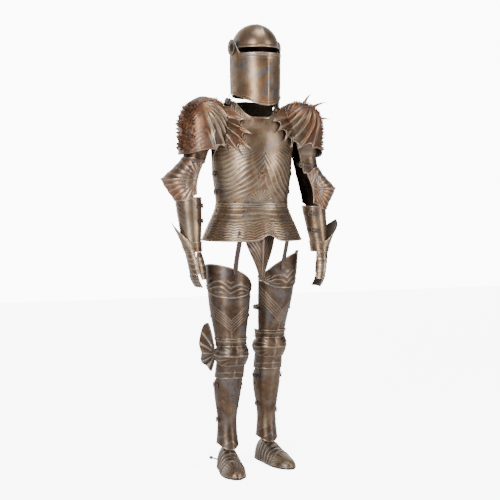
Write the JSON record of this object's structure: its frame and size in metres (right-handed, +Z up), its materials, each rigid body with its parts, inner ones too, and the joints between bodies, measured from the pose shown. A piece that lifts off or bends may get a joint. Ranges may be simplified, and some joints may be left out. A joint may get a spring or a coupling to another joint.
{
  "type": "suit of plate armour",
  "caption": "Hollow fluted full plate armour in its worn stance: visored helmet, cuirass with fauld, winged and spiked shoulders, elbow and knee cops, gauntlets and plate shoes.",
  "frame": {"origin": "middle of the neck opening, where the wearer's shoulders carry the suit, 1.490 m above the floor it stands on", "axes": "+Z up, -Y to the wearer's front, +X to the wearer's left"},
  "size_m": [0.7842, 0.4317, 1.841],
  "materials": {
    "steel_tan": "aged steel, tan-grey patina over bright ridges",
    "steel_brown": "aged steel, dark brown patina with pale worn edges",
    "steel_rust": "aged steel, rust and copper-brown patina",
    "leather": "dark brown worn leather"
  },
  "bodies": {
    "harness": {"backplate": "steel_tan", "breast_rosette": "steel_rust", "breastplate": "steel_tan", "codpiece": "steel_rust", "couter_left": "steel_tan", "couter_right": "steel_tan", "cuisse_left": "steel_brown", "cuisse_right": "steel_brown", "cuisse_top_left": "steel_brown", "cuisse_top_right": "steel_brown", "fauld_back": "steel_tan", "fauld_front": "steel_tan", "gauntlet_cuff_left": "steel_tan", "gauntlet_cuff_right": "steel_tan", "gauntlet_fingers_left": "steel_brown", "gauntlet_fingers_right": "steel_brown", "gauntlet_hand_left": "steel_tan", "gauntlet_hand_right": "steel_tan", "gauntlet_thumb_left": "steel_tan", "gauntlet_thumb_right": "steel_tan", "helmet_skull": "steel_brown", "knee_lame_left": "steel_brown", "knee_lame_right": "steel_brown", "knee_wing": "steel_tan", "pauldron_left": "steel_rust", "pauldron_right": "steel_rust", "poleyn_left": "steel_brown", "poleyn_right": "steel_brown", "rerebrace_left": "steel_brown", "rerebrace_right": "steel_brown", "rondel_left": "steel_brown", "rondel_right": "steel_brown", "shoulder_strap_left": "leather", "shoulder_strap_right": "leather", "thigh_strap_left": "leather", "thigh_strap_right": "leather", "vambrace_left": "steel_tan", "vambrace_right": "steel_tan"},
    "visor": {"helmet_visor": "steel_tan"},
    "shank_right": {"demigreave_right": "steel_brown", "greave_back_right": "steel_brown", "greave_front_right": "steel_brown", "sabaton_heel_right": "steel_brown", "sabaton_instep_right": "steel_brown", "sabaton_lame_a_right": "steel_brown", "sabaton_lame_b_right": "steel_brown", "sabaton_toe_right": "steel_tan", "sole_right": "leather"},
    "shank_left": {"demigreave_left": "steel_brown", "greave_back_left": "steel_brown", "greave_front_left": "steel_brown", "sabaton_heel_left": "steel_brown", "sabaton_instep_left": "steel_brown", "sabaton_lame_a_left": "steel_brown", "sabaton_lame_b_left": "steel_brown", "sabaton_toe_left": "steel_tan", "sole_left": "leather"}
  },
  "joints": [
    {"name": "visor_tilt", "type": "hinge", "parent": "harness", "child": "visor", "pos_m": [0.00965, -0.00801, 0.252], "axis": [-0.9962, -0.0872, 0], "range_deg": [0, 60]},
    {"name": "knee_right", "type": "hinge", "parent": "harness", "child": "shank_right", "pos_m": [-0.112, -0.058, -1.01], "axis": [1, 0, 0], "range_deg": [0, 80]},
    {"name": "knee_left", "type": "hinge", "parent": "harness", "child": "shank_left", "pos_m": [0.092, 0.036, -0.993], "axis": [1, 0, 0], "range_deg": [0, 80]}
  ]
}
